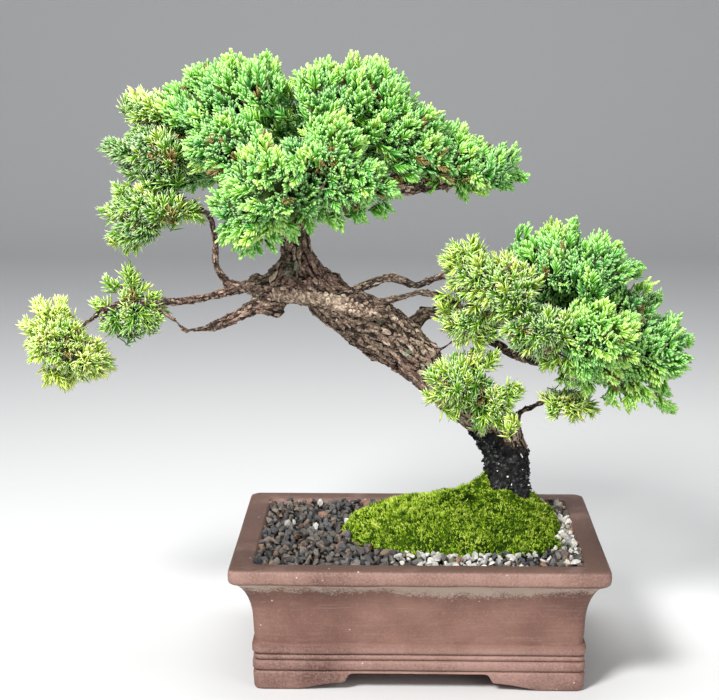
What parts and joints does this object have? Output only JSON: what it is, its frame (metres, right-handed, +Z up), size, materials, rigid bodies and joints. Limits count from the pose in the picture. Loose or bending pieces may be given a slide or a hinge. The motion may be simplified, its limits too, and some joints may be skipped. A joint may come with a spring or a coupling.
{
  "type": "juniper bonsai in a pot",
  "caption": "Slanting juniper bonsai with layered foliage pads on a leaning trunk, in a rectangular clay pot with gravel and a moss mound; stands on the pot's feet.",
  "frame": {"origin": "under the middle of the bounding box, on the surface the pot stands on", "axes": "+X to the right along the pot's long side and the tree's spread, -Y towards the front, +Z up"},
  "size_m": [0.463, 0.203, 0.423],
  "materials": {
    "clay": "matte",
    "screen_plastic": "matte",
    "wire": "satin",
    "soil": "matte",
    "moss": "matte",
    "dark_stone": "matte",
    "pale_stone": "matte",
    "bark": "matte",
    "scale_leaf": "satin",
    "needle_leaf": "satin"
  },
  "bodies": {
    "root": {"pot": "clay", "drain_screen_left": "screen_plastic", "screen_clip_left": "wire", "drain_screen_right": "screen_plastic", "screen_clip_right": "wire", "anchor_wire": "wire", "soil": "soil", "moss_mound": "moss", "gravel_dark": "dark_stone", "gravel_pale": "pale_stone", "trunk_and_branches": "bark", "pad_crown_front": "scale_leaf", "pad_crown_middle": "scale_leaf", "pad_crown_front_right": "scale_leaf", "pad_crown_top_left": "scale_leaf", "pad_crown_top_right": "scale_leaf", "pad_crown_right": "scale_leaf", "pad_crown_reach_tip": "scale_leaf", "pad_crown_back_left": "scale_leaf", "pad_crown_back_right": "scale_leaf", "pad_crown_back_low": "scale_leaf", "pad_right_front_outer": "scale_leaf", "pad_right_crest": "scale_leaf", "pad_right_outer": "scale_leaf", "pad_right_back": "scale_leaf", "pad_right_back_outer": "scale_leaf", "pad_crown_left": "needle_leaf", "pad_crown_left_top": "needle_leaf", "pad_crown_left_low": "needle_leaf", "pad_left_tip": "needle_leaf", "pad_left_twigs": "needle_leaf", "pad_right_inner": "needle_leaf", "pad_right_low_inner": "needle_leaf", "pad_right_front": "needle_leaf", "pad_lower_left": "needle_leaf", "pad_lower_right": "needle_leaf"}
  },
  "joints": []
}
